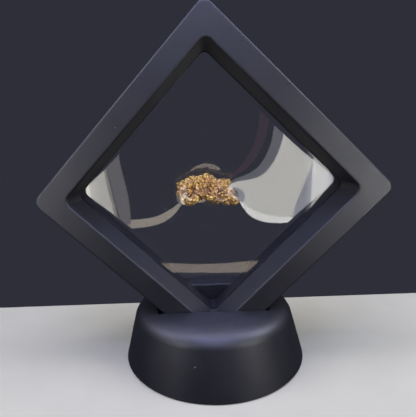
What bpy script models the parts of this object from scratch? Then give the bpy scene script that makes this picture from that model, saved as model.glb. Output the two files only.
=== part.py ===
"""Gold nugget held between two clear films in a square frame that stands on one corner.

Metres, +Z up, -Y towards the viewer. The origin is under the stand's centre, on the table.
Every size below is a real one; the driving dimensions come first.
"""

import math
from random import Random

import bmesh
import bpy
import numpy as np
from mathutils import Matrix, Vector

MM = 0.001

# Frame: two equal moulded halves that meet at a seam half way through the depth.
FRAME_SIDE = 70 * MM
FRAME_DEPTH = 20 * MM
BAR_WIDTH = 6.35 * MM
WINDOW_SIDE = 55.2 * MM
OUTER_CORNER = 2.5 * MM
FACE_CORNER = 2.2 * MM
WINDOW_CORNER = 2 * MM
REBATE_CORNER = 1 * MM
EDGE_ROUND = 0.5 * MM
FRAME_CENTRE = 52 * MM

# Films: thin stretched sheets whose margins sit in a rebate round each half's window.
FILM_THICKNESS = 0.2 * MM
FILM_MARGIN = 2.6 * MM
FILM_CELLS = 20
FILM_GRADING = 0.42  # 1 would space the cells evenly; less makes them finer over the nugget
STRETCH_SAMPLES = 108
STRETCH_PASSES = 6000

# Stand: a turned body with a pocket for the frame's lowest corner.
STAND_RADIUS = 28 * MM
STAND_HEIGHT = 17.8 * MM
STAND_SHOULDER_RADIUS = 24.4 * MM
STAND_SHOULDER_HEIGHT = 13.5 * MM
STAND_TOP_RADIUS = 17.5 * MM
STAND_RIM_DROP = 0.7 * MM
STAND_FOOT_CHAMFER = 0.5 * MM
STAND_OFFSET = -0.4 * MM
STAND_SIDES = 44
POCKET_LEFT = 17.4 * MM
POCKET_RIGHT = 16.4 * MM
POCKET_SEAT_HEIGHT = 9 * MM

# Clearance that two touching pieces keep.
GAP = 0.3 * MM

# Nugget: round masses and lobes as (x, y, z, radius) in millimetres from the frame's centre.
NUGGET_LOBES = (
    (-5.6, 0.2, 0.1, 2.2),
    (-2.2, 0.1, 0.7, 3.1),
    (1.4, 0.0, 0.0, 3.1),
    (4.4, -0.5, -1.6, 2.4),
    (-7.7, 0.5, 0.9, 1.8),
    (-7.8, 0.3, -1.0, 1.6),
    (-7.0, 0.3, -2.6, 1.6),
    (-5.6, -0.6, -2.9, 1.5),
    (-6.0, 0.0, 1.7, 2.0),
    (-4.8, 0.4, 3.1, 1.2),
    (-2.6, -0.5, 2.5, 1.9),
    (-0.7, 0.3, 2.4, 2.4),
    (1.3, -0.9, 1.4, 2.1),
    (3.6, -0.6, 1.2, 1.8),
    (5.1, -0.6, 1.8, 1.2),
    (5.7, -0.9, -1.5, 1.4),
    (6.6, -0.8, -3.0, 1.3),
    (7.2, -0.8, -3.9, 1.1),
    (4.8, -0.6, -3.0, 1.5),
    (2.0, 0.4, -2.3, 2.0),
    (0.8, -1.0, -0.9, 2.3),
    (-4.2, -1.5, -2.0, 1.5),
    (0.4, 2.0, -1.3, 2.1),
    (-1.0, 1.4, -1.2, 2.0),
    (-2.2, 0.0, -0.9, 1.9),
    (4.9, -1.5, -0.4, 1.2),
)
# The lobes are read outwards from an arched line inside them: x and z are quadratic in -1..1.
SPINE_X = (-0.6, 5.6, 0.0)
SPINE_Z = (0.9, -0.9, -1.9)
NUGGET_RINGS = 46
NUGGET_SEGMENTS = 44
KNOB_COUNT = 300
KNOB_RADII = (0.5, 0.95)
KNOB_SINK = 0.3
PIT_COUNT = 60
PIT_RADII = (0.6, 1.1)
PIT_DEPTH = 0.45
SURFACE_SEED = 11


def clear_scene():
    for item in list(bpy.data.objects):
        bpy.data.objects.remove(item, do_unlink=True)


def make_material(name, colour, roughness, metallic, alpha=1.0):
    """A Principled material with one base colour (linear RGB)."""
    material = bpy.data.materials.new(name)
    material.use_nodes = True
    shader = material.node_tree.nodes["Principled BSDF"]
    shader.inputs["Base Color"].default_value = (*colour, 1.0)
    shader.inputs["Roughness"].default_value = roughness
    shader.inputs["Metallic"].default_value = metallic
    shader.inputs["Alpha"].default_value = alpha
    material.diffuse_color = (*colour, alpha)
    return material


def add_object(name, bm, material, sharp_angle=35):
    """Links the mesh as one named object, with outward faces and smooth shading."""
    bmesh.ops.recalc_face_normals(bm, faces=bm.faces)
    mesh = bpy.data.meshes.new(name)
    bm.to_mesh(mesh)
    bm.free()
    mesh.shade_smooth()
    mesh.set_sharp_from_angle(angle=math.radians(sharp_angle))
    item = bpy.data.objects.new(name, mesh)
    item.data.materials.append(material)
    bpy.context.scene.collection.objects.link(item)
    return item


# ---------------------------------------------------------------- frame halves


def rounded_square(half_side, corner, y, steps=4):
    """Points of a square with round corners, in the plane at depth y."""
    centre = half_side - corner
    points = []
    for quarter in range(4):
        sx, sz = ((1, 1), (-1, 1), (-1, -1), (1, -1))[quarter]
        for step in range(steps + 1):
            angle = math.radians(90 * (quarter + step / steps))
            x = sx * centre + corner * math.cos(angle)
            z = sz * centre + corner * math.sin(angle)
            points.append(Vector((x, y, z)))
    return points


def round_over(half_side, corner, y, direction, steps=3):
    """Loops of a quarter-round edge: direction +1 turns in from the outer side, -1 out of the window."""
    loops = []
    for step in range(1, steps + 1):
        angle = math.radians(90 * step / steps)
        if direction > 0:
            inset = EDGE_ROUND * (1 - math.cos(angle))
            rise = EDGE_ROUND * math.sin(angle)
        else:
            inset = EDGE_ROUND * math.sin(angle)
            rise = EDGE_ROUND * (math.cos(angle) - 1)
        loops.append((half_side - inset, corner - direction * inset, y - rise))
    return loops


def frame_section():
    """Section of the front half as (half side, corner radius, y), from the seam round to the rebate."""
    outer = FRAME_SIDE / 2
    face = outer - BAR_WIDTH + EDGE_ROUND
    window = WINDOW_SIDE / 2
    seam = -GAP / 2
    front = -FRAME_DEPTH / 2
    ledge = seam - FILM_THICKNESS - GAP
    rebate = window + FILM_MARGIN + GAP
    section = [(outer, OUTER_CORNER, seam), (outer, OUTER_CORNER, front + EDGE_ROUND)]
    section += round_over(outer, OUTER_CORNER, front + EDGE_ROUND, 1)
    section += [(face, FACE_CORNER + EDGE_ROUND, front)]
    section += round_over(face, FACE_CORNER + EDGE_ROUND, front, -1)
    section += [(window, WINDOW_CORNER, ledge)]
    section += [(rebate, REBATE_CORNER, ledge), (rebate, REBATE_CORNER, seam)]
    return section


def bridge_closed(bm, loops):
    """Joins each ring of vertices to the next and the last to the first."""
    rings = [[bm.verts.new(point) for point in loop] for loop in loops]
    for index, ring in enumerate(rings):
        following = rings[(index + 1) % len(rings)]
        for k in range(len(ring)):
            nxt = (k + 1) % len(ring)
            bm.faces.new((ring[k], ring[nxt], following[nxt], following[k]))


def make_frame_half(name, material, turn):
    """One moulded half; turn is its rotation about the vertical axis."""
    bm = bmesh.new()
    bridge_closed(bm, [rounded_square(*station) for station in frame_section()])
    half = add_object(name, bm, material)
    half.location = (0, 0, FRAME_CENTRE)
    half.rotation_euler = (0, math.radians(45), turn)
    return half


# ---------------------------------------------------------------- nugget


def spine_points(along):
    """Points on the arched line inside the nugget, for values from -1 at its left to 1 at its right."""
    x = SPINE_X[0] + SPINE_X[1] * along + SPINE_X[2] * along**2
    z = SPINE_Z[0] + SPINE_Z[1] * along + SPINE_Z[2] * along**2
    return np.column_stack((x, np.zeros_like(x), z))


def skin_points(directions, spheres):
    """Where the ray that leaves the spine along each unit direction last crosses any sphere.

    A ray starts at the spine point whose place is the direction's own x, so the rays fan out evenly.
    """
    starts = spine_points(directions[:, 0])
    offset = spheres[None, :, :3] - starts[:, None, :]
    along = (offset * directions[:, None, :]).sum(axis=2)
    under = spheres[:, 3] ** 2 - (offset**2).sum(axis=2) + along**2
    reach = np.where(under > 0, along + np.sqrt(np.maximum(under, 0)), 0).max(axis=1)
    return starts + directions * reach[:, None]


def seeded_directions(draw, count):
    """Unit vectors spread evenly over the sphere."""
    x = np.array([draw.uniform(-1, 1) for _ in range(count)])
    turn = np.array([draw.uniform(0, 2 * math.pi) for _ in range(count)])
    across = np.sqrt(1 - x**2)
    return np.column_stack((x, across * np.cos(turn), across * np.sin(turn)))


def add_knobs(lobes, draw):
    """The lobes with small knobs on them, each sunk by part of its radius."""
    directions = seeded_directions(draw, KNOB_COUNT)
    radii = np.array([draw.uniform(*KNOB_RADII) for _ in range(KNOB_COUNT)])
    centres = skin_points(directions, lobes) - directions * (KNOB_SINK * radii)[:, None]
    return np.vstack((lobes, np.column_stack((centres, radii))))


def press_pits(points, directions, draw):
    """Pushes points inwards near each seeded pit, deepest at its middle."""
    middles = skin_points(seeded_directions(draw, PIT_COUNT), np.array(NUGGET_LOBES))
    radii = np.array([draw.uniform(*PIT_RADII) for _ in range(PIT_COUNT)])
    apart = np.linalg.norm(points[:, None, :] - middles[None, :, :], axis=2)
    depth = PIT_DEPTH * np.maximum(1 - (apart / radii) ** 2, 0)
    return points - directions * depth.max(axis=1)[:, None]


def make_nugget(material):
    """Lobes, knobs and pits fused in one closed skin. Returns its points too, for the films."""
    bm = bmesh.new()
    bmesh.ops.create_uvsphere(bm, u_segments=NUGGET_SEGMENTS, v_segments=NUGGET_RINGS, radius=1)
    bmesh.ops.rotate(bm, verts=bm.verts, matrix=Matrix.Rotation(math.radians(90), 3, "Y"))
    draw = Random(SURFACE_SEED)
    directions = np.array([vertex.co.normalized() for vertex in bm.verts])
    spheres = add_knobs(np.array(NUGGET_LOBES), draw)
    points = press_pits(skin_points(directions, spheres), directions, draw) * MM
    for vertex, point in zip(bm.verts, points):
        vertex.co = Vector(point)
    nugget = add_object("gold_nugget", bm, material, sharp_angle=50)
    nugget.location = (0, 0, FRAME_CENTRE)
    return points


# ---------------------------------------------------------------- films


def stretched_heights(points):
    """Height of a stretched film over the points, on a square grid turned 45 degrees.

    The film is fixed at the window's sides. Everywhere else each height is the mean of its four
    neighbours, unless that is lower than the highest point within one of the film's cells.
    """
    line = np.linspace(-WINDOW_SIDE / 2, WINDOW_SIDE / 2, STRETCH_SAMPLES)
    u, w = np.meshgrid(line, line, indexing="ij")
    x = (u + w) / math.sqrt(2)
    z = (w - u) / math.sqrt(2)
    cell_diagonal = WINDOW_SIDE / FILM_CELLS * FILM_GRADING * math.sqrt(2)
    reach = cell_diagonal + line[1] - line[0]
    floor = np.zeros_like(x)
    for px, height, pz in points:
        near = (x - px) ** 2 + (z - pz) ** 2 < reach**2
        floor[near] = np.maximum(floor[near], height)
    heights = floor.copy()
    for _ in range(STRETCH_PASSES):
        mean = (heights[:-2, 1:-1] + heights[2:, 1:-1] + heights[1:-1, :-2] + heights[1:-1, 2:]) / 4
        heights[1:-1, 1:-1] = np.maximum(mean, floor[1:-1, 1:-1])
    return line, heights


def graded(value):
    """Maps -1..1 to the film's half side: fine cells at the middle, one margin cell at the edge."""
    inner = 1 - 2 / FILM_CELLS
    reach = WINDOW_SIDE / 2 - GAP
    if abs(value) > inner + 1e-6:
        return math.copysign(WINDOW_SIDE / 2 + FILM_MARGIN, value)
    part = value / inner
    return reach * (FILM_GRADING * part + (1 - FILM_GRADING) * part**3)


def make_film(name, material, side, nugget_points):
    """One clear film; side is -1 for the front and +1 for the back."""
    clearance = GAP / 2
    raised = [(x, side * y + clearance, z) for x, y, z in nugget_points if side * y > 0]
    line, heights = stretched_heights(raised)
    spacing = line[1] - line[0]
    bm = bmesh.new()
    bmesh.ops.create_grid(bm, x_segments=FILM_CELLS, y_segments=FILM_CELLS, size=1)
    for vertex in bm.verts:
        u, w = graded(vertex.co.x), graded(vertex.co.y)
        inside = max(abs(u), abs(w)) < WINDOW_SIDE / 2
        i, j = round((u - line[0]) / spacing), round((w - line[0]) / spacing)
        height = heights[i, j] if inside else 0
        x, z = (u + w) / math.sqrt(2), (w - u) / math.sqrt(2)
        vertex.co = Vector((x, side * (GAP / 2 + height), z))
    thicken(bm, side * FILM_THICKNESS)
    film = add_object(name, bm, material)
    film.location = (0, 0, FRAME_CENTRE)
    return film


def thicken(bm, depth):
    """Turns an open sheet into a closed one: a copy is set off along Y and joined at the rim."""
    sheet = list(bm.faces)
    rim = [edge for edge in bm.edges if edge.is_boundary]
    copied = bmesh.ops.duplicate(bm, geom=sheet + list(bm.edges) + list(bm.verts))
    upper = [item for item in copied["geom"] if isinstance(item, bmesh.types.BMVert)]
    bmesh.ops.translate(bm, verts=upper, vec=(0, depth, 0))
    twin = copied["vert_map"]
    for edge in rim:
        a, b = edge.verts
        bm.faces.new((a, b, twin[b], twin[a]))


# ---------------------------------------------------------------- stand


def stand_profile(shoulder_steps=8):
    """Radius and height down the stand's outer side, from the centre of its top to that of its foot.

    The shoulder is a quadratic curve from the flat top to the sloping side, which it meets in line.
    """
    flare = (STAND_RADIUS - STAND_SHOULDER_RADIUS) / STAND_SHOULDER_HEIGHT
    knee_height = STAND_HEIGHT - STAND_RIM_DROP
    knee = Vector((STAND_SHOULDER_RADIUS - flare * (knee_height - STAND_SHOULDER_HEIGHT), knee_height))
    top = Vector((STAND_TOP_RADIUS, STAND_HEIGHT))
    side = Vector((STAND_SHOULDER_RADIUS, STAND_SHOULDER_HEIGHT))
    profile = [(0, STAND_HEIGHT)]
    for step in range(shoulder_steps + 1):
        t = step / shoulder_steps
        profile.append(top * (1 - t) ** 2 + knee * 2 * t * (1 - t) + side * t**2)
    profile.append((STAND_RADIUS - flare * STAND_FOOT_CHAMFER, STAND_FOOT_CHAMFER))
    profile.append((STAND_RADIUS - STAND_FOOT_CHAMFER, 0))
    profile.append((0, 0))
    return profile


def make_pocket_cutter():
    """A block with the frame corner's outline, wider upwards, as deep as the frame plus clearance."""
    arc_centre = FRAME_CENTRE - (FRAME_SIDE / 2 - OUTER_CORNER) * math.sqrt(2)
    floor = arc_centre - OUTER_CORNER - GAP
    reach = (OUTER_CORNER + GAP) * math.sqrt(2) - arc_centre
    above = 2 * MM
    outline = []
    for end in (-POCKET_LEFT, POCKET_RIGHT):
        turn = math.copysign(1, end)
        seat = POCKET_SEAT_HEIGHT + reach
        slope = (abs(end) - seat) / (STAND_HEIGHT - POCKET_SEAT_HEIGHT)
        wall = [
            (turn * (floor + reach), floor),
            (turn * seat, POCKET_SEAT_HEIGHT),
            (turn * (abs(end) + slope * above), STAND_HEIGHT + above),
        ]
        outline += wall if turn > 0 else wall[::-1]
    half_width = FRAME_DEPTH / 2 + GAP
    bm = bmesh.new()
    face = bm.faces.new([bm.verts.new((x, -half_width, z)) for x, z in outline])
    swept = bmesh.ops.extrude_face_region(bm, geom=[face])
    moved = [item for item in swept["geom"] if isinstance(item, bmesh.types.BMVert)]
    bmesh.ops.translate(bm, verts=moved, vec=(0, 2 * half_width, 0))
    cutter = add_object("pocket_cutter", bm, bpy.data.materials["black_plastic"])
    cutter.hide_render = True
    cutter.display_type = "WIRE"
    return cutter


def make_stand(material):
    """The turned body, with the frame's pocket cut into its top."""
    bm = bmesh.new()
    points = [bm.verts.new((radius, 0, height)) for radius, height in stand_profile()]
    edges = [bm.edges.new(pair) for pair in zip(points, points[1:])]
    bmesh.ops.spin(bm, geom=points + edges, axis=(0, 0, 1), steps=STAND_SIDES, angle=2 * math.pi)
    bmesh.ops.remove_doubles(bm, verts=bm.verts, dist=0.01 * MM)
    bmesh.ops.translate(bm, verts=bm.verts, vec=(STAND_OFFSET, 0, 0))
    stand = add_object("stand", bm, material)
    cut = stand.modifiers.new("frame_pocket", "BOOLEAN")
    cut.operation = "DIFFERENCE"
    cut.object = make_pocket_cutter()
    return stand


def main():
    clear_scene()
    gold = make_material("native_gold", (0.62, 0.36, 0.09), 0.32, 1.0)
    plastic = make_material("black_plastic", (0.012, 0.012, 0.015), 0.38, 0.0)
    clear = make_material("clear_film", (0.9, 0.9, 0.88), 0.05, 0.0, alpha=0.2)
    make_frame_half("front_frame", plastic, 0.0)
    make_frame_half("back_frame", plastic, math.pi)
    nugget_points = make_nugget(gold)
    make_film("front_film", clear, -1, nugget_points)
    make_film("back_film", clear, 1, nugget_points)
    make_stand(plastic)


main()
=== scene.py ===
import math
from random import Random

import bpy
import numpy as np
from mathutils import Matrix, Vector


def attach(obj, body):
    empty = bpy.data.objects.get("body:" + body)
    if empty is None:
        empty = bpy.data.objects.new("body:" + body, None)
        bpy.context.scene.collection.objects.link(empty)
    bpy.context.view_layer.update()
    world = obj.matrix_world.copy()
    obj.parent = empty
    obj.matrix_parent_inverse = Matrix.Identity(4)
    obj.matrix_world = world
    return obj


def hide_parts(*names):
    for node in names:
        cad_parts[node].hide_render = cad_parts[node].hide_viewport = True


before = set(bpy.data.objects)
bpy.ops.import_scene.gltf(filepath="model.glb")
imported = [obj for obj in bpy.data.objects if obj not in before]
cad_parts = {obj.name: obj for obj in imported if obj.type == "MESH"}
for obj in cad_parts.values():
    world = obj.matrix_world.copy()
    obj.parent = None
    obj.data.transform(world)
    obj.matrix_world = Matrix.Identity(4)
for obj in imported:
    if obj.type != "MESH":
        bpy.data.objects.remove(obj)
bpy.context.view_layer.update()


# ------------------------------------------------------------------ camera and studio
# The viewer stands in front and a little above. The stand rests on a pale board in a dark studio,
# under cool softboxes overhead, in front and at both sides. White cards stand and lie round the
# camera: the films mirror some of them, and the rest give the black mouldings their sheen.

MM = 0.001
CAMERA_PLACE = (-3.96 * MM, -114.46 * MM, 70.27 * MM)
CAMERA_TURN = (76.35, 2.94, 1.54)
FOCAL_LENGTH = 33.57
SENSOR_SIDE = 36
CAMERA_SHIFT = (0.0613, 0.0327)
BOARD_X = (-170 * MM, 170 * MM)
BOARD_Y = (-46 * MM, 36 * MM)
BOARD_THICKNESS = 5 * MM
BOARD_EDGE_ROUND = 1 * MM
BOARD_COLOURS = ("#9f9d86", "#96947e")
# The board's mottling is about 17 mm across.
MOTTLES_PER_METRE = 60.0
ROOM_COLOUR = "#2e2f39"
# Every card is given as brightness, colour and four corners in millimetres. The upright ones stand in
# one plane beside the camera, with corners as (x, z). These are the ones that the films mirror.
CARD_PLANE = -112
UPRIGHT_CARDS = {
    "left_wall": (3.9, "#f0f0ff", ((-240, 5), (-105, 5), (-105, 120), (-240, 120))),
    "left_high": (2.5, "#f0f0ff", ((-105, 55), (-76, 55), (-76, 120), (-105, 120))),
    "left_top": (4.0, "#eceeff", ((-240, 120), (-90, 120), (-90, 250), (-240, 250))),
    "left_card": (4.3, "#fffcf2", ((-73, -5), (-62.3, -5), (-66.6, 110), (-73, 110))),
    "left_edge": (2.3, "#f4ebe0", ((-62.3, -5), (-61.2, -5), (-65.5, 110), (-66.6, 110))),
    "left_rim": (1.15, "#f6f0ee", ((-61.2, 5.5), (-57.4, 5.5), (-59.2, 110), (-65.5, 110))),
    "right_blush": (0.42, "#c58a9c", ((43, 60), (48.5, 58), (53, 100), (46, 100))),
    "right_rim": (1.25, "#ecebf6", ((50.5, 5.5), (52.9, 5.5), (63, 110), (55.8, 110))),
    "right_card": (5.0, "#fffdf4", ((52.9, 5.5), (66.2, 5.5), (78, 110), (63, 110))),
    "right_band": (2.8, "#f2f3ff", ((66.2, 5.5), (80, 5.5), (84, 110), (78, 110))),
    "right_wall": (2.7, "#f6f9ff", ((80, 5.5), (240, 5.5), (240, 130), (85, 130))),
    "right_top": (4.0, "#eceeff", ((95, 130), (240, 130), (240, 250), (95, 250))),
    "right_foot": (7.0, "#fffefa", ((51.5, -1.9), (72, 1.8), (72, 5.5), (51.5, 5.5))),
    "right_floor": (6.5, "#fffefa", ((95, -3), (240, -3), (240, 5.5), (95, 5.5))),
}
# Cards that lie flat at the board's height, with corners as (x, y). The films mirror them too.
LYING_CARDS = {
    "left_sill": (2.7, "#fff1db", ((-100, -155), (-30, -129), (-30, -110.5), (-100, -128))),
    "middle_sill": (2.15, "#ffecd2", ((-14, -128.6), (21, -122), (21, -86), (-14, -98))),
}
# Upright cards that give the black mouldings their sheen, with corners as (x, z).
SHEEN_CARDS = {
    "left_wash": (9.6, "#f6f5fa", ((-155, 24), (-92, 24), (-92, 120), (-155, 120))),
    "right_wash": (12.0, "#fbfbfc", ((80, 15), (150, 15), (150, 85), (80, 85))),
    "brow_wash": (3.2, "#e4e4ff", ((-40, 125), (50, 125), (50, 165), (-40, 165))),
}
# What the mirrored cards light, and what the sheen cards light. Each piece joins one of the two
# groups where it is made.
mirror_targets = bpy.data.collections.new("mirror_targets")
wash_targets = bpy.data.collections.new("wash_targets")


def linear(hex_colour):
    """The linear RGBA of an sRGB hex value."""
    values = [int(hex_colour[i : i + 2], 16) / 255 for i in (1, 3, 5)]
    channels = [v / 12.92 if v <= 0.04045 else ((v + 0.055) / 1.055) ** 2.4 for v in values]
    return (*channels, 1.0)


def add_node(material, kind, settings=None, links=None):
    """Adds one shader node: settings go to its properties or sockets, links say what a socket reads."""
    node = material.node_tree.nodes.new(kind)
    for name, value in (settings or {}).items():
        if isinstance(name, str) and name[0].islower():
            setattr(node, name, value)
        else:
            node.inputs[name].default_value = value
    for name, source in (links or {}).items():
        material.node_tree.links.new(source, node.inputs[name])
    return node


def new_material(name):
    """An empty node material with its output node."""
    material = bpy.data.materials.new(name)
    material.use_nodes = True
    material.node_tree.nodes.clear()
    output = material.node_tree.nodes.new("ShaderNodeOutputMaterial")
    return material, output


def show(material, output, shader):
    """Links a shader to the material's surface."""
    material.node_tree.links.new(shader, output.inputs["Surface"])


def mesh_object(name, points, faces, material, sharp=None):
    """One object at the origin from arrays of points and faces, shaded smooth."""
    mesh = bpy.data.meshes.new(name)
    mesh.from_pydata(points.tolist(), [], faces)
    mesh.materials.append(material)
    mesh.shade_smooth()
    if sharp is not None:
        mesh.set_sharp_from_angle(angle=math.radians(sharp))
    mesh.update()
    piece = bpy.data.objects.new(name, mesh)
    bpy.context.scene.collection.objects.link(piece)
    return piece


def add_camera():
    """A square picture from the viewer's place, with its middle shifted a little."""
    camera = bpy.data.cameras.new("camera")
    camera.lens = FOCAL_LENGTH
    camera.sensor_width = SENSOR_SIDE
    camera.sensor_height = SENSOR_SIDE
    camera.sensor_fit = "VERTICAL"
    camera.shift_x, camera.shift_y = CAMERA_SHIFT
    camera.clip_start = 5 * MM
    holder = bpy.data.objects.new("camera", camera)
    holder.location = CAMERA_PLACE
    holder.rotation_euler = [math.radians(angle) for angle in CAMERA_TURN]
    bpy.context.scene.collection.objects.link(holder)
    bpy.context.scene.camera = holder


def add_softbox(name, place, aim, size, radiance, colour):
    """A rectangular lamp at place that faces aim, as bright as radiance whatever its size."""
    lamp = bpy.data.lights.new(name, "AREA")
    lamp.shape = "RECTANGLE"
    lamp.size, lamp.size_y = size
    lamp.energy = radiance * math.pi * size[0] * size[1]
    lamp.color = linear(colour)[:3]
    holder = bpy.data.objects.new(name, lamp)
    holder.location = place
    holder.rotation_euler = (Vector(aim) - Vector(place)).to_track_quat("-Z", "Y").to_euler()
    holder.visible_camera = False
    bpy.context.scene.collection.objects.link(holder)


def add_card(name, targets, brightness, colour, corners):
    """A flat card of white paper, lit evenly: it lights its targets alone and hides from the camera."""
    material, output = new_material(f"white_paper_{name}")
    glow = add_node(material, "ShaderNodeEmission", {"Color": linear(colour), "Strength": brightness})
    show(material, output, glow.outputs["Emission"])
    card = mesh_object(name, np.array(corners) * MM, [(0, 1, 2, 3)], material)
    card.visible_camera = False
    card.visible_shadow = False
    card.light_linking.receiver_collection = targets


def light_room():
    """A dark blue-grey room, plain and even on all sides."""
    world = bpy.data.worlds.new("room")
    world.use_nodes = True
    background = world.node_tree.nodes["Background"]
    background.inputs["Color"].default_value = linear(ROOM_COLOUR)
    bpy.context.scene.world = world
    bpy.context.scene.view_settings.view_transform = "Standard"


def board_material():
    """Painted board: matt and pale, with the faint mottling that a roller leaves."""
    material, output = new_material("pale_painted_board")
    place = add_node(material, "ShaderNodeTexCoord")
    mottle = add_node(
        material,
        "ShaderNodeTexNoise",
        {"Scale": MOTTLES_PER_METRE, "Detail": 3.0},
        {"Vector": place.outputs["Object"]},
    )
    shade = add_node(material, "ShaderNodeMix", {"data_type": "RGBA"}, {"Factor": mottle.outputs["Fac"]})
    shade.inputs["A"].default_value = linear(BOARD_COLOURS[0])
    shade.inputs["B"].default_value = linear(BOARD_COLOURS[1])
    coat = add_node(
        material,
        "ShaderNodeBsdfPrincipled",
        {"Roughness": 0.75},
        {"Base Color": shade.outputs["Result"]},
    )
    show(material, output, coat.outputs["BSDF"])
    return material


def add_board():
    """A flat rectangular board with its top at height zero and rounded edges."""
    corners = np.array([(x, y, z) for z in (-BOARD_THICKNESS, 0) for y in BOARD_Y for x in BOARD_X])
    faces = [(0, 2, 3, 1), (4, 5, 7, 6), (0, 1, 5, 4), (1, 3, 7, 5), (3, 2, 6, 7), (2, 0, 4, 6)]
    board = mesh_object("board", corners, faces, board_material(), 35)
    rounding = board.modifiers.new("rounding", "BEVEL")
    rounding.width = BOARD_EDGE_ROUND
    rounding.segments = 3
    board.visible_diffuse = False
    board.visible_glossy = False
    mirror_targets.objects.link(board)


add_camera()
light_room()
add_board()
add_softbox("overhead", (0, -0.03, 0.45), (0, 0, 0.05), (0.62, 0.14), 8.5, "#dcdaff")
add_softbox("high_front", (0, -0.20, 0.40), (0, 0, 0.06), (0.24, 0.125), 12.5, "#a2aeff")
add_softbox("low_front", (0, -0.33, 0.287), (0, 0, 0.06), (0.23, 0.077), 7.6, "#c8cbff")
add_softbox("left_side", (-0.34, -0.04, 0.33), (0, 0, 0.03), (0.2, 0.14), 12.0, "#e0e2ff")
add_softbox("right_side", (0.34, -0.04, 0.33), (0, 0, 0.03), (0.2, 0.14), 14.0, "#e6e8ff")
for name, (brightness, colour, corners) in UPRIGHT_CARDS.items():
    add_card(name, mirror_targets, brightness, colour, [(x, CARD_PLANE, z) for x, z in corners])
for name, (brightness, colour, corners) in LYING_CARDS.items():
    add_card(name, mirror_targets, brightness, colour, [(x, y, 0) for x, y in corners])
for name, (brightness, colour, corners) in SHEEN_CARDS.items():
    add_card(name, wash_targets, brightness, colour, [(x, CARD_PLANE, z) for x, z in corners])


# ------------------------------------------------------------------ nugget
# Native gold from gravel or quartz: a lumpy, spongy mass of grown crystals, worn bright on its high spots,
# with brown iron stain left in its pits and a painted highlight on its top. It is one piece and nothing is
# fixed to it.

FRAME_CENTRE = 52 * MM
# Round masses and lobes as (x, y, z, radius) in millimetres from the frame's centre.
NUGGET_LOBES = (
    (-5.6, 0.2, 0.1, 2.2),
    (-2.2, 0.1, 0.7, 3.1),
    (1.4, 0.0, 0.0, 3.1),
    (4.4, -0.5, -1.6, 2.4),
    (-7.7, 0.5, 0.9, 1.8),
    (-7.8, 0.3, -1.0, 1.6),
    (-7.0, 0.3, -2.6, 1.6),
    (-5.6, -0.6, -2.9, 1.5),
    (-6.0, 0.0, 1.7, 2.0),
    (-4.8, 0.4, 3.1, 1.2),
    (-2.6, -0.5, 2.5, 1.9),
    (-0.7, 0.3, 2.4, 2.4),
    (1.3, -0.9, 1.4, 2.1),
    (3.6, -0.6, 1.2, 1.8),
    (5.1, -0.6, 1.8, 1.2),
    (5.7, -0.9, -1.5, 1.4),
    (6.6, -0.8, -3.0, 1.3),
    (7.2, -0.8, -3.9, 1.1),
    (4.8, -0.6, -3.0, 1.5),
    (2.0, 0.4, -2.3, 2.0),
    (0.8, -1.0, -0.9, 2.3),
    (-4.2, -1.5, -2.0, 1.5),
    (0.4, 2.0, -1.3, 2.1),
    (-1.0, 1.4, -1.2, 2.0),
    (-2.2, 0.0, -0.9, 1.9),
    (4.9, -1.5, -0.4, 1.2),
)
# Terms of the quadratics in x and z for the arch along the nugget's middle.
SPINE_X = (-0.6, 5.6, 0.0)
SPINE_Z = (0.9, -0.9, -1.9)
# Counts of the lumps and pits on the lobes, their radii in millimetres, and how deep they sit.
SURFACE_SEED = 11
KNOB_COUNT = 170
KNOB_RADII = (0.4, 0.75)
KNOB_SINK = 0.5
GRAIN_COUNT = 700
GRAIN_RADII = (0.2, 0.4)
GRAIN_SINK = 0.35
PIT_COUNT = 60
PIT_RADII = (0.6, 1.1)
PIT_DEPTH = 0.45
# Ridges as (height, fall to the crease, spacing in millimetres, seed), from coarse to fine.
CRESTS = (0.14, 0.52, 1.05, 1)
CRINKLES = (0.1, 0.42, 0.45, 2)
# How far the ridges wander, over what distance, and the seed for each axis.
WANDER = 0.5
WANDER_SPACING = 1.6
WANDER_SEEDS = (4, 5, 6)
FINE_HEIGHT = 0.07
FINE_SPACING = 0.19
FINE_SEED = 3
# Colour of the gold at each level from a worn crest down into a crack. The painted highlight on the
# top of the mass moves the level towards the bright crest colour.
GOLD_COLOURS = ((0.12, "#e2be62"), (0.36, "#c29b5c"), (0.6, "#a07c5c"), (0.95, "#60422d"))
# The top of the mass is painted brighter than the rest, a painted highlight for the light from above,
# more and more between these two heights.
PAINTED_HIGHLIGHT_FROM = FRAME_CENTRE + 1 * MM
PAINTED_HIGHLIGHT_TO = FRAME_CENTRE + 4.5 * MM
PAINTED_HIGHLIGHT_LIFT = 0.18
# Patches of colour are about 2.4 mm across, and the grit of small crystals about 0.4 mm.
PATCHES_PER_METRE = 420.0
GRIT_PER_METRE = 2600.0
GRIT_HEIGHT = 0.08 * MM
# A crack is told from a crest among this many points on each side, over this depth in millimetres.
CRACK_SPAN = 5
CRACK_DEPTH = 0.6
NUGGET_RINGS = 300
NUGGET_SEGMENTS = 320
# Rays are worked out in blocks of about this many, which keeps the arrays small.
RAYS_AT_ONCE = 3000


def ring_faces(rings, sides, closed=False):
    """Quads between neighbouring rings of a grid of rings x sides points, counted row by row."""
    r = np.arange(rings if closed else rings - 1)[:, None]
    s = np.arange(sides)[None, :]
    after = (r + 1) % rings
    turn = (s + 1) % sides
    quads = np.stack((r * sides + s, r * sides + turn, after * sides + turn, after * sides + s), axis=-1)
    return quads.reshape(-1, 4)


def spine_points(along):
    """Points of an arch inside the nugget: x and z are quadratic in a value from -1 to 1."""
    x = SPINE_X[0] + SPINE_X[1] * along + SPINE_X[2] * along**2
    z = SPINE_Z[0] + SPINE_Z[1] * along + SPINE_Z[2] * along**2
    return np.column_stack((x, np.zeros_like(x), z))


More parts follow.
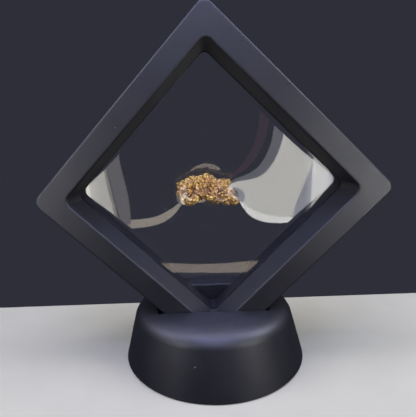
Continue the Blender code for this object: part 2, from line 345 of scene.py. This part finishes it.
def skin_reach(directions, spheres):
    """How far along each unit direction the ray from the spine last leaves any sphere.

    A ray leaves a sphere at the distance along it to the centre's foot, plus the half chord.
    """
    starts = spine_points(directions[:, 0])
    centres = spheres[:, :3]
    reach = np.empty(len(directions))
    blocks = max(1, len(directions) // RAYS_AT_ONCE)
    for block in np.array_split(np.arange(len(directions)), blocks):
        start, direction = starts[block], directions[block]
        along = direction @ centres.T - (direction * start).sum(axis=1)[:, None]
        apart = (start**2).sum(axis=1)[:, None] - 2 * start @ centres.T + (centres**2).sum(axis=1)
        under = spheres[:, 3] ** 2 - apart + along**2
        reach[block] = np.where(under > 0, along + np.sqrt(np.maximum(under, 0)), 0).max(axis=1)
    return starts, reach


def seeded_directions(draw, count):
    """Unit vectors spread evenly over the sphere: an even x, and an even turn round the X axis."""
    x = np.array([draw.uniform(-1, 1) for _ in range(count)])
    turn = np.array([draw.uniform(0, 2 * math.pi) for _ in range(count)])
    across = np.sqrt(1 - x**2)
    return np.column_stack((x, across * np.cos(turn), across * np.sin(turn)))


def add_bumps(spheres, draw, count, radii, sink):
    """The spheres with count smaller ones set in their skin, each sunk by part of its radius."""
    directions = seeded_directions(draw, count)
    sizes = np.array([draw.uniform(*radii) for _ in range(count)])
    starts, reach = skin_reach(directions, spheres)
    centres = starts + directions * (reach - sink * sizes)[:, None]
    return np.vstack((spheres, np.column_stack((centres, sizes))))


def pit_places(draw, spheres):
    """Middles and radii of round pits spread over the skin of the spheres."""
    directions = seeded_directions(draw, PIT_COUNT)
    starts, reach = skin_reach(directions, spheres)
    radii = [draw.uniform(*PIT_RADII) for _ in range(PIT_COUNT)]
    return starts + directions * reach[:, None], radii


def pit_depths(points, middles, radii):
    """How deep each point lies in the nearest pit: a paraboloid, zero outside it."""
    depths = np.zeros(len(points))
    for middle, radius in zip(middles, radii):
        apart = np.linalg.norm(points - middle, axis=1)
        depths = np.maximum(depths, PIT_DEPTH * (1 - (apart / radius) ** 2))
    return depths


def lattice_noise(points, spacing, seed):
    """Smooth noise from -1 to 1: random values on a cubic lattice, blended by a cubic ease.

    The lattice repeats after size cells.
    """
    size = 64
    table = np.random.default_rng(seed).uniform(-1, 1, (size, size, size))
    place = points / spacing + size / 2
    cell = np.floor(place).astype(int)
    part = place - cell
    ease = part * part * (3 - 2 * part)
    total = 0
    for corner in np.ndindex(2, 2, 2):
        index = (cell + corner) % size
        weight = np.prod(np.where(corner, ease, 1 - ease), axis=1)
        total = total + weight * table[index[:, 0], index[:, 1], index[:, 2]]
    return total


def ridges(points, height, fall, spacing, seed):
    """Sharp winding ridges: a height less a fall times the size of smooth noise, whose zeros are crests."""
    return height - fall * np.abs(lattice_noise(points, spacing, seed))


def sphere_directions(rings, segments):
    """Unit vectors on rings round the X axis, with one pole at each end; the poles come last."""
    lean = np.linspace(0, np.pi, rings + 2)[1:-1]
    turn = np.linspace(0, 2 * np.pi, segments, endpoint=False)
    lean, turn = np.meshgrid(lean, turn, indexing="ij")
    across = np.sin(lean)
    body = np.stack((-np.cos(lean), across * np.cos(turn), across * np.sin(turn)), axis=-1)
    return np.vstack((body.reshape(-1, 3), [(-1, 0, 0), (1, 0, 0)]))


def sphere_faces(rings, segments):
    """Faces of sphere_directions: quads between the rings and a fan of triangles at each pole."""
    quads = ring_faces(rings, segments).tolist()
    s = np.arange(segments)
    turn = (s + 1) % segments
    start = rings * segments
    last = (rings - 1) * segments
    near = np.column_stack((np.full(segments, start), turn, s)).tolist()
    far = np.column_stack((np.full(segments, start + 1), last + s, last + turn)).tolist()
    return quads + near + far


def sunk_values(reach):
    """How sunk each point is among its neighbours, from 0 on a crest to 1 in a crack.

    It is a half plus the mean reach of the patch round the point less its own, over the crack depth.
    """
    span = CRACK_SPAN
    body = reach[:-2].reshape(NUGGET_RINGS, NUGGET_SEGMENTS)
    padded = np.pad(np.pad(body, ((span, span), (0, 0)), "edge"), ((0, 0), (span, span)), "wrap")
    patches = np.lib.stride_tricks.sliding_window_view(padded, (2 * span + 1, 2 * span + 1))
    sunk = 0.5 + (patches.mean(axis=(2, 3)) - body) / CRACK_DEPTH
    return np.clip(np.append(sunk, (0.5, 0.5)), 0, 1)


def nugget_surface():
    """Points of the fused lobes, knobs and grains, and how sunk each point is from 0 to 1.

    Each ray from the spine takes the furthest sphere. Two sizes of ridges, fine noise and the pits
    then move the point along its ray.
    """
    draw = Random(SURFACE_SEED)
    directions = sphere_directions(NUGGET_RINGS, NUGGET_SEGMENTS)
    lobes = np.array(NUGGET_LOBES)
    knobbed = add_bumps(lobes, draw, KNOB_COUNT, KNOB_RADII, KNOB_SINK)
    middles, radii = pit_places(draw, lobes)
    grained = add_bumps(knobbed, draw, GRAIN_COUNT, GRAIN_RADII, GRAIN_SINK)
    starts, reach = skin_reach(directions, grained)
    points = starts + directions * reach[:, None]
    depth = pit_depths(points, middles, radii)
    drift = [lattice_noise(points, WANDER_SPACING, seed) for seed in WANDER_SEEDS]
    wandered = points + WANDER * np.stack(drift, axis=-1)
    fine = FINE_HEIGHT * lattice_noise(points, FINE_SPACING, FINE_SEED)
    shift = ridges(wandered, *CRESTS) + ridges(wandered, *CRINKLES) + fine - depth
    points = points + directions * shift[:, None]
    return points * MM, sunk_values(reach + shift)


def gold_material():
    """Native gold: bright yellow metal on worn crests, rosy tan below, dark iron stain in the cracks, and a
    painted highlight that brightens the top of the mass.
    """
    material, output = new_material("native_gold")
    place = add_node(material, "ShaderNodeTexCoord")
    where = place.outputs["Object"]
    sunk = add_node(material, "ShaderNodeAttribute", {"attribute_name": "sunk"})
    patches = add_node(
        material, "ShaderNodeTexNoise", {"Scale": PATCHES_PER_METRE, "Detail": 4.0}, {"Vector": where}
    )
    grit = add_node(
        material, "ShaderNodeTexNoise", {"Scale": GRIT_PER_METRE, "Detail": 3.0}, {"Vector": where}
    )
    uneven = add_node(
        material,
        "ShaderNodeMapRange",
        {"From Min": 0.3, "From Max": 0.7, "To Min": -0.2, "To Max": 0.2},
        {"Value": patches.outputs["Fac"]},
    )
    height = add_node(material, "ShaderNodeSeparateXYZ", links={"Vector": where})
    # Painted highlight: near the top of the mass the colour moves towards bright gold, for the light from
    # above.
    painted_top_highlight = add_node(
        material,
        "ShaderNodeMapRange",
        {"From Min": PAINTED_HIGHLIGHT_FROM, "From Max": PAINTED_HIGHLIGHT_TO, "To Min": 0.0, "To Max": -PAINTED_HIGHLIGHT_LIFT},
        {"Value": height.outputs["Z"]},
    )
    stain = add_node(
        material,
        "ShaderNodeMath",
        {"operation": "ADD"},
        {0: sunk.outputs["Fac"], 1: uneven.outputs["Result"]},
    )
    level = add_node(
        material,
        "ShaderNodeMath",
        {"operation": "ADD"},
        {0: stain.outputs[0], 1: painted_top_highlight.outputs["Result"]},
    )
    metal = add_node(material, "ShaderNodeValToRGB", links={"Fac": level.outputs[0]})
    for place_on_ramp, colour in GOLD_COLOURS:
        stop = metal.color_ramp.elements.new(place_on_ramp)
        stop.color = linear(colour)
    metal.color_ramp.elements.remove(metal.color_ramp.elements[0])
    metal.color_ramp.elements.remove(metal.color_ramp.elements[-1])
    dull = add_node(
        material,
        "ShaderNodeMapRange",
        {"From Min": 0.3, "From Max": 0.8, "To Min": 0.27, "To Max": 0.6},
        {"Value": level.outputs[0]},
    )
    bump = add_node(
        material,
        "ShaderNodeBump",
        {"Strength": 0.7, "Distance": GRIT_HEIGHT},
        {"Height": grit.outputs["Fac"]},
    )
    skin = add_node(
        material,
        "ShaderNodeBsdfPrincipled",
        {"Metallic": 1.0},
        {
            "Base Color": metal.outputs["Color"],
            "Roughness": dull.outputs["Result"],
            "Normal": bump.outputs["Normal"],
        },
    )
    show(material, output, skin.outputs["BSDF"])
    return material


def add_nugget():
    """The nugget in its place at the frame's centre. The films stretch over the points it returns."""
    points, sunk = nugget_surface()
    points[:, 2] += FRAME_CENTRE
    faces = sphere_faces(NUGGET_RINGS, NUGGET_SEGMENTS)
    nugget = mesh_object("nugget", points, faces, gold_material())
    layer = nugget.data.attributes.new("sunk", "FLOAT", "POINT")
    layer.data.foreach_set("value", sunk)
    mirror_targets.objects.link(nugget)
    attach(nugget, "root")
    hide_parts("gold_nugget")
    return points


nugget_points = add_nugget()


# ------------------------------------------------------------------ frame halves
# Two equal square mouldings in black styrene, which close on each other round the films. The faces
# have a fine satin grain from the mould; the edges are slightly rounded and catch the light.

FRAME_SIDE = 70 * MM
FRAME_DEPTH = 20 * MM
BAR_WIDTH = 6.35 * MM
WINDOW_SIDE = 55.2 * MM
OUTER_CORNER = 2.5 * MM
FACE_CORNER = 2.2 * MM
WINDOW_CORNER = 2 * MM
REBATE_CORNER = 1 * MM
EDGE_ROUND = 0.5 * MM
EDGE_STEPS = 6
CORNER_STEPS = 14
SEAM = 0.3 * MM
SEAM_CHAMFER = 0.15 * MM
FILM_THICKNESS = 0.2 * MM
FILM_MARGIN = 2.6 * MM
# A flat strip this wide beside each rounded edge keeps the flat faces flat in the shading.
SUPPORT = 0.25 * MM
FRAME_BLACK = "#111114"
FRAME_ROUGHNESS = 0.48
DUST_WHITE = "#9a9aa2"
# The mould's grain is really about 0.1 mm wide. It is drawn at 0.4 mm, so that it shows.
GRAIN_PER_METRE = 2400.0
GRAIN_HEIGHT = 0.04 * MM
# Dull and shiny patches are about 11 mm across, and one cell in many of 3 mm holds a speck of dust.
WEAR_PER_METRE = 90.0
SPECKS_PER_METRE = 330.0
# Faces that meet at more than this many degrees keep a sharp edge.
SHARP_ANGLE = 40


def rounded_square(half_side, corner):
    """Points round a square with arcs at its corners, with a spare point on each side of each arc."""
    centre = half_side - corner
    arc = np.radians(np.linspace(0, 90, CORNER_STEPS))
    x = np.concatenate(([half_side], centre + corner * np.cos(arc), [centre - SUPPORT]))
    z = np.concatenate(([centre - SUPPORT], centre + corner * np.sin(arc), [half_side]))
    quarter = x + 1j * z
    turned = np.concatenate([quarter * 1j**k for k in range(4)])
    return turned.real, turned.imag


def frame_section():
    """Stations (half side, corner radius, depth) round one half's section, from the seam and back."""
    outer = FRAME_SIDE / 2
    face = outer - BAR_WIDTH
    window = WINDOW_SIDE / 2
    front = FRAME_DEPTH / 2
    seam = SEAM / 2
    ledge = seam + FILM_THICKNESS + SEAM
    rebate = window + FILM_MARGIN + SEAM
    turn = np.radians(np.linspace(0, 90, EDGE_STEPS))
    stations = [
        (outer - SEAM_CHAMFER, OUTER_CORNER, seam),
        (outer, OUTER_CORNER, seam + SEAM_CHAMFER),
        (outer, OUTER_CORNER, seam + SUPPORT + SEAM_CHAMFER),
        (outer, OUTER_CORNER, front - EDGE_ROUND - SUPPORT),
    ]
    for angle in turn:
        inset = EDGE_ROUND * (1 - math.cos(angle))
        depth = front - EDGE_ROUND * (1 - math.sin(angle))
        stations.append((outer - inset, OUTER_CORNER - inset, depth))
    stations.append((outer - EDGE_ROUND - SUPPORT, OUTER_CORNER - EDGE_ROUND - SUPPORT, front))
    stations.append((face + EDGE_ROUND + SUPPORT, FACE_CORNER + EDGE_ROUND + SUPPORT, front))
    for angle in turn:
        inset = EDGE_ROUND * (1 - math.sin(angle))
        depth = front - EDGE_ROUND * (1 - math.cos(angle))
        stations.append((face + inset, FACE_CORNER + inset, depth))
    wall = (face - window) / (front - EDGE_ROUND - ledge)
    for depth in (front - EDGE_ROUND - SUPPORT, ledge + SUPPORT, ledge):
        stations.append((window + wall * (depth - ledge), WINDOW_CORNER, depth))
    stations += [(window + SUPPORT, WINDOW_CORNER, ledge), (rebate, REBATE_CORNER, ledge)]
    stations += [(rebate, REBATE_CORNER, seam), (rebate + SUPPORT, REBATE_CORNER, seam)]
    return stations


def plastic_material(name, colour, roughness):
    """Satin black styrene from a fine-grained mould: soft highlights and a few specks of dust."""
    material, output = new_material(name)
    place = add_node(material, "ShaderNodeTexCoord")
    where = place.outputs["Object"]
    grain = add_node(
        material, "ShaderNodeTexNoise", {"Scale": GRAIN_PER_METRE, "Detail": 2.0}, {"Vector": where}
    )
    wear = add_node(
        material, "ShaderNodeTexNoise", {"Scale": WEAR_PER_METRE, "Detail": 5.0}, {"Vector": where}
    )
    specks = add_node(material, "ShaderNodeTexVoronoi", {"Scale": SPECKS_PER_METRE}, {"Vector": where})
    chance = add_node(material, "ShaderNodeSeparateColor", links={"Color": specks.outputs["Color"]})
    rare = add_node(
        material, "ShaderNodeMath", {"operation": "GREATER_THAN", 1: 0.94}, {0: chance.outputs["Red"]}
    )
    near = add_node(
        material, "ShaderNodeMath", {"operation": "LESS_THAN", 1: 0.055}, {0: specks.outputs["Distance"]}
    )
    dust = add_node(
        material, "ShaderNodeMath", {"operation": "MULTIPLY"}, {0: rare.outputs[0], 1: near.outputs[0]}
    )
    tint = add_node(material, "ShaderNodeMix", {"data_type": "RGBA"}, {"Factor": dust.outputs[0]})
    tint.inputs["A"].default_value = linear(colour)
    tint.inputs["B"].default_value = linear(DUST_WHITE)
    gloss = add_node(
        material,
        "ShaderNodeMapRange",
        {"From Min": 0.3, "From Max": 0.7, "To Min": roughness - 0.04, "To Max": roughness + 0.05},
        {"Value": wear.outputs["Fac"]},
    )
    bump = add_node(
        material,
        "ShaderNodeBump",
        {"Strength": 0.6, "Distance": GRAIN_HEIGHT},
        {"Height": grain.outputs["Fac"]},
    )
    skin = add_node(
        material,
        "ShaderNodeBsdfPrincipled",
        {"IOR": 1.55},
        {
            "Base Color": tint.outputs["Result"],
            "Roughness": gloss.outputs["Result"],
            "Normal": bump.outputs["Normal"],
        },
    )
    show(material, output, skin.outputs["BSDF"])
    return material


def add_frame_half(name, node, side, material):
    """One half: the section carried round the rounded square, turned 45 degrees. side is -1 in front."""
    rings = []
    for half_side, corner, depth in frame_section():
        u, w = rounded_square(half_side, corner)
        x, z = (u + w) / math.sqrt(2), (w - u) / math.sqrt(2)
        rings.append(np.column_stack((x, np.full(len(u), side * depth), z)))
    points = np.vstack(rings)
    points[:, 2] += FRAME_CENTRE
    faces = ring_faces(len(rings), len(rings[0]), closed=True)
    # The back half is the front one's mirror image, so its faces are turned to point outwards again.
    if side > 0:
        faces = faces[:, ::-1]
    half = mesh_object(name, points, faces.tolist(), material, SHARP_ANGLE)
    wash_targets.objects.link(half)
    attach(half, "root")
    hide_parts(node)


frame_plastic = plastic_material("satin_black_styrene", FRAME_BLACK, FRAME_ROUGHNESS)
add_frame_half("front_half", "front_frame", -1, frame_plastic)
add_frame_half("back_half", "back_frame", 1, frame_plastic)


# ------------------------------------------------------------------ films
# Two thin sheets of clear elastic film, one in each half. Closed, they press on the nugget from both
# sides and stretch into tents from its high spots to the window's edges, smooth and glossy.

# Points along each side of the window, and how far the film's inner face clears the nugget.
FILM_GRID = 161
FILM_LIFT = 0.06 * MM
# The stretch is first solved on a grid of about this many points, with this many sweeps on each grid.
COARSEST_GRID = 20
SWEEPS = 1500
# One cell in many of about 4 mm holds a speck of dust.
LINT_PER_METRE = 260.0


def widest_near(heights):
    """Each height replaced by the highest of itself and its eight neighbours."""
    padded = np.pad(heights, 1)
    n, m = heights.shape
    shifted = [padded[i : i + n, j : j + m] for i in range(3) for j in range(3)]
    return np.maximum.reduce(shifted)


def refined(heights):
    """The same heights on a grid twice as fine, by straight blending."""
    n = len(heights)
    line = np.arange(2 * n - 1) / 2
    low = np.minimum(line.astype(int), n - 2)
    part = line - low
    rows = heights[low] * (1 - part)[:, None] + heights[low + 1] * part[:, None]
    return rows[:, low] * (1 - part) + rows[:, low + 1] * part


def stretched_heights(bulge):
    """Heights of a stretched film over a bulge: away from it each is the mean of its four neighbours.

    Solved on grids from coarse to fine, each one starting from the last.
    """
    levels = [bulge]
    while len(levels[-1]) > COARSEST_GRID:
        levels.append(widest_near(levels[-1])[::2, ::2])
    heights = levels[-1].copy()
    for floor in levels[::-1]:
        if len(floor) != len(heights):
            heights = refined(heights)
        heights = np.maximum(heights, floor)
        for _ in range(SWEEPS):
            mean = (heights[:-2, 1:-1] + heights[2:, 1:-1] + heights[1:-1, :-2] + heights[1:-1, 2:]) / 4
            heights[1:-1, 1:-1] = np.maximum(mean, floor[1:-1, 1:-1])
        heights[[0, -1]] = 0
        heights[:, [0, -1]] = 0
    return heights


def bulge_heights(points, side):
    """How far the nugget stands out on one side, on the film's grid, with the film's clearance added."""
    u = (points[:, 0] - (points[:, 2] - FRAME_CENTRE)) / math.sqrt(2)
    w = (points[:, 0] + (points[:, 2] - FRAME_CENTRE)) / math.sqrt(2)
    spacing = WINDOW_SIDE / (FILM_GRID - 1)
    i = np.rint((u + WINDOW_SIDE / 2) / spacing).astype(int)
    j = np.rint((w + WINDOW_SIDE / 2) / spacing).astype(int)
    bulge = np.zeros((FILM_GRID, FILM_GRID))
    np.maximum.at(bulge, (i, j), np.maximum(side * points[:, 1], 0))
    bulge = widest_near(bulge)
    return np.where(bulge > 0, bulge + FILM_LIFT - SEAM / 2, 0)


def film_material():
    """Clear polyurethane film, cast smooth: it hardly shows but where it mirrors the lights.

    Shadow rays pass straight through, so that the lamps light what is behind the film.
    """
    material, output = new_material("clear_film")
    place = add_node(material, "ShaderNodeTexCoord")
    specks = add_node(
        material, "ShaderNodeTexVoronoi", {"Scale": LINT_PER_METRE}, {"Vector": place.outputs["Object"]}
    )
    chance = add_node(material, "ShaderNodeSeparateColor", links={"Color": specks.outputs["Color"]})
    rare = add_node(
        material, "ShaderNodeMath", {"operation": "GREATER_THAN", 1: 0.95}, {0: chance.outputs["Red"]}
    )
    near = add_node(
        material, "ShaderNodeMath", {"operation": "LESS_THAN", 1: 0.05}, {0: specks.outputs["Distance"]}
    )
    dust = add_node(
        material, "ShaderNodeMath", {"operation": "MULTIPLY"}, {0: rare.outputs[0], 1: near.outputs[0]}
    )
    glass = add_node(
        material,
        "ShaderNodeBsdfPrincipled",
        {"Base Color": (1, 1, 1, 1), "Roughness": 0.02, "IOR": 1.5, "Transmission Weight": 1.0},
    )
    lint = add_node(
        material, "ShaderNodeBsdfPrincipled", {"Base Color": linear(DUST_WHITE), "Roughness": 0.9}
    )
    dusty = add_node(
        material,
        "ShaderNodeMixShader",
        links={0: dust.outputs[0], 1: glass.outputs["BSDF"], 2: lint.outputs["BSDF"]},
    )
    rays = add_node(material, "ShaderNodeLightPath")
    clear = add_node(material, "ShaderNodeBsdfTransparent")
    mixed = add_node(
        material,
        "ShaderNodeMixShader",
        links={0: rays.outputs["Is Shadow Ray"], 1: dusty.outputs["Shader"], 2: clear.outputs["BSDF"]},
    )
    show(material, output, mixed.outputs["Shader"])
    return material


def add_film(name, node, side, material):
    """One film: inner and outer sheets a thickness apart along Y, joined round the rim."""
    half = WINDOW_SIDE / 2
    line = np.linspace(-half, half, FILM_GRID)
    rim = half + FILM_MARGIN
    line = np.concatenate(([-rim, -half - SUPPORT], line, [half + SUPPORT, rim]))
    heights = np.pad(stretched_heights(bulge_heights(nugget_points, side)), 2)
    u, w = np.meshgrid(line, line, indexing="ij")
    x, z = (u + w) / math.sqrt(2), (w - u) / math.sqrt(2) + FRAME_CENTRE
    inner = SEAM / 2 + heights
    sheets = [
        np.stack((x, side * (inner + rise), z), axis=-1).reshape(-1, 3) for rise in (0, FILM_THICKNESS)
    ]
    count = len(line)
    cell = (np.arange(count - 1)[:, None] * count + np.arange(count - 1)).reshape(-1)
    quads = np.column_stack((cell, cell + count, cell + count + 1, cell + 1))
    edge = np.arange(count)
    border = np.concatenate(
        (
            edge[:-1] * count,
            (count - 1) * count + edge[:-1],
            (edge[:0:-1]) * count + count - 1,
            edge[:0:-1],
        )
    )
    after = np.roll(border, -1)
    offset = count * count
    band = np.column_stack((border, after, after + offset, border + offset))
    faces = np.vstack((quads, quads[:, ::-1] + offset, band[:, ::-1]))
    # The front film is the back one's mirror image, so its faces are turned to point outwards again.
    if side < 0:
        faces = faces[:, ::-1]
    film = mesh_object(name, np.vstack(sheets), faces.tolist(), material, SHARP_ANGLE)
    mirror_targets.objects.link(film)
    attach(film, "root")
    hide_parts(node)


clear_film = film_material()
add_film("front_sheet", "front_film", -1, clear_film)
add_film("back_sheet", "back_film", 1, clear_film)


# ------------------------------------------------------------------ stand
# A squat round foot in the same black styrene. Its top has a pocket with a V-shaped seat at the
# bottom, in which the frame's lowest corner rests by its own weight.

STAND_RADIUS = 28 * MM
STAND_HEIGHT = 17.8 * MM
STAND_SHOULDER_RADIUS = 24.4 * MM
STAND_SHOULDER_HEIGHT = 13.5 * MM
STAND_TOP_RADIUS = 17.5 * MM
STAND_RIM_DROP = 0.7 * MM
STAND_FOOT_CHAMFER = 0.5 * MM
STAND_OFFSET = -0.4 * MM
STAND_SIDES = 720
POCKET_LEFT = 17.4 * MM
POCKET_RIGHT = 16.4 * MM
POCKET_SEAT_HEIGHT = 9 * MM
POCKET_CORNER = 0.6 * MM
POCKET_EDGE_ROUND = 0.3 * MM
STAND_FLARE = (STAND_RADIUS - STAND_SHOULDER_RADIUS) / STAND_SHOULDER_HEIGHT
# Outside this radius the rings are circles, and inside it they blend into the pocket's outline.
BLEND_RADIUS = 22 * MM
SHOULDER_RINGS = 40
BLEND_RINGS = 16
# Parts of the way down the pocket's walls, and down its seat, at which there is a ring.
WALL_STATIONS = (0.08, 0.5, 0.94, 1)
SEAT_STATIONS = (0.06, 0.5, 1)
STAND_BLACK = "#0e0e11"
STAND_ROUGHNESS = 0.46
STAND_SHARP_ANGLE = 35


def shoulder_curve(steps=60):
    """Radii and heights down the quadratic curve from the flat top to the sloping side."""
    t = np.linspace(0, 1, steps)[:, None]
    knee_height = STAND_HEIGHT - STAND_RIM_DROP
    knee_radius = STAND_SHOULDER_RADIUS - STAND_FLARE * (knee_height - STAND_SHOULDER_HEIGHT)
    knee = np.array((knee_radius, knee_height))
    top = np.array((STAND_TOP_RADIUS, STAND_HEIGHT))
    side = np.array((STAND_SHOULDER_RADIUS, STAND_SHOULDER_HEIGHT))
    return (top * (1 - t) ** 2 + knee * 2 * t * (1 - t) + side * t**2).T


def top_height(radius):
    """Height of the stand's upper surface at a distance from its axis."""
    radii, heights = shoulder_curve()
    return np.interp(radius, radii, heights)


def pocket_ends(height):
    """Places of the pocket's two ends at a height: a V seat, and above it walls that flare upwards."""
    reach = OUTER_CORNER + SEAM
    arc_centre = FRAME_CENTRE - (FRAME_SIDE / 2 - OUTER_CORNER) * math.sqrt(2)
    seat = POCKET_SEAT_HEIGHT + reach * math.sqrt(2) - arc_centre
    below = np.maximum(POCKET_SEAT_HEIGHT - height, 0)
    above = np.maximum(height - POCKET_SEAT_HEIGHT, 0) / (STAND_HEIGHT - POCKET_SEAT_HEIGHT)
    ends = ((-1, POCKET_LEFT), (1, POCKET_RIGHT))
    return [turn * (seat - below + (end - seat) * above) for turn, end in ends]


def pocket_radius(angle, height):
    """Distance from the stand's axis to the pocket's wall at each angle: a rectangle with round corners.

    It is the nearer of the end wall and the side wall, and in a corner where the ray leaves its circle.
    """
    left, right = pocket_ends(height)
    across, along = np.abs(np.cos(angle)), np.abs(np.sin(angle))
    length = np.where(np.cos(angle) > 0, right - STAND_OFFSET, STAND_OFFSET - left)
    width = FRAME_DEPTH / 2 + SEAM
    never_zero = 1e-9
    straight = np.minimum(length / np.maximum(across, never_zero), width / np.maximum(along, never_zero))
    corner = np.minimum(POCKET_CORNER, 0.9 * length)
    middle_x, middle_y = length - corner, width - corner
    foot = across * middle_x + along * middle_y
    under = foot**2 - middle_x**2 - middle_y**2 + corner**2
    rounded = foot + np.sqrt(np.maximum(under, 0))
    in_corner = (straight * across > middle_x) & (straight * along > middle_y)
    return np.where(in_corner, rounded, straight)


def stand_rings():
    """Rings (radius, height at each angle) from the underside's rim, over the top, into the pocket.

    The rim's height and radius depend on each other, so they are worked out again until they settle.
    """
    angle = np.linspace(0, 2 * np.pi, STAND_SIDES, endpoint=False)
    flat = np.ones(STAND_SIDES)
    rings = [(STAND_RADIUS - STAND_FOOT_CHAMFER, 0.0)]
    for height in (STAND_FOOT_CHAMFER, STAND_FOOT_CHAMFER + SUPPORT, STAND_SHOULDER_HEIGHT / 2):
        rings.append((STAND_RADIUS - STAND_FLARE * height, height))
    radii, heights = shoulder_curve(SHOULDER_RINGS)
    outside = radii[::-1] > BLEND_RADIUS
    rings += list(zip(radii[::-1][outside], heights[::-1][outside]))
    rings = [(radius * flat, height * flat) for radius, height in rings]
    edge_height = STAND_HEIGHT * flat
    rounds_to_settle = 12
    for _ in range(rounds_to_settle):
        edge_height = top_height(pocket_radius(angle, edge_height) + POCKET_EDGE_ROUND)
    edge_radius = pocket_radius(angle, edge_height - POCKET_EDGE_ROUND) + POCKET_EDGE_ROUND
    for part in np.linspace(0, 1, BLEND_RINGS):
        radius = BLEND_RADIUS + (edge_radius - BLEND_RADIUS) * part
        rings.append((radius, top_height(radius)))
    for turn in np.radians((30, 60, 90)):
        inwards = POCKET_EDGE_ROUND * math.sin(turn)
        drop = POCKET_EDGE_ROUND * (1 - math.cos(turn))
        rings.append((edge_radius - inwards, top_height(edge_radius) - drop))
    wall_top = rings[-1][1]
    for part in WALL_STATIONS:
        height = wall_top + (POCKET_SEAT_HEIGHT - wall_top) * part
        rings.append((pocket_radius(angle, height), height))
    floor = FRAME_CENTRE - (FRAME_SIDE / 2 - OUTER_CORNER) * math.sqrt(2) - OUTER_CORNER - SEAM
    for part in SEAT_STATIONS:
        height = (POCKET_SEAT_HEIGHT + (floor - POCKET_SEAT_HEIGHT) * part) * flat
        rings.append((pocket_radius(angle, height), height))
    return angle, rings


def add_stand():
    """The stand: rings of quads from the underside to the seat, and a fan of triangles at each pole."""
    angle, rings = stand_rings()
    bodies = [
        np.column_stack((radius * np.cos(angle) + STAND_OFFSET, radius * np.sin(angle), height))
        for radius, height in rings
    ]
    poles = [(STAND_OFFSET, 0, 0), (STAND_OFFSET, 0, rings[-1][1][0])]
    points = np.vstack([*bodies, poles])
    start = len(rings) * STAND_SIDES
    s = np.arange(STAND_SIDES)
    turn = (s + 1) % STAND_SIDES
    last = start - STAND_SIDES
    faces = ring_faces(len(rings), STAND_SIDES).tolist()
    faces += np.column_stack((np.full(STAND_SIDES, start), turn, s)).tolist()
    faces += np.column_stack((np.full(STAND_SIDES, start + 1), last + s, last + turn)).tolist()
    plastic = plastic_material("satin_black_styrene_foot", STAND_BLACK, STAND_ROUGHNESS)
    stand = mesh_object("foot", points, faces, plastic, STAND_SHARP_ANGLE)
    wash_targets.objects.link(stand)
    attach(stand, "root")
    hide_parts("stand")


add_stand()
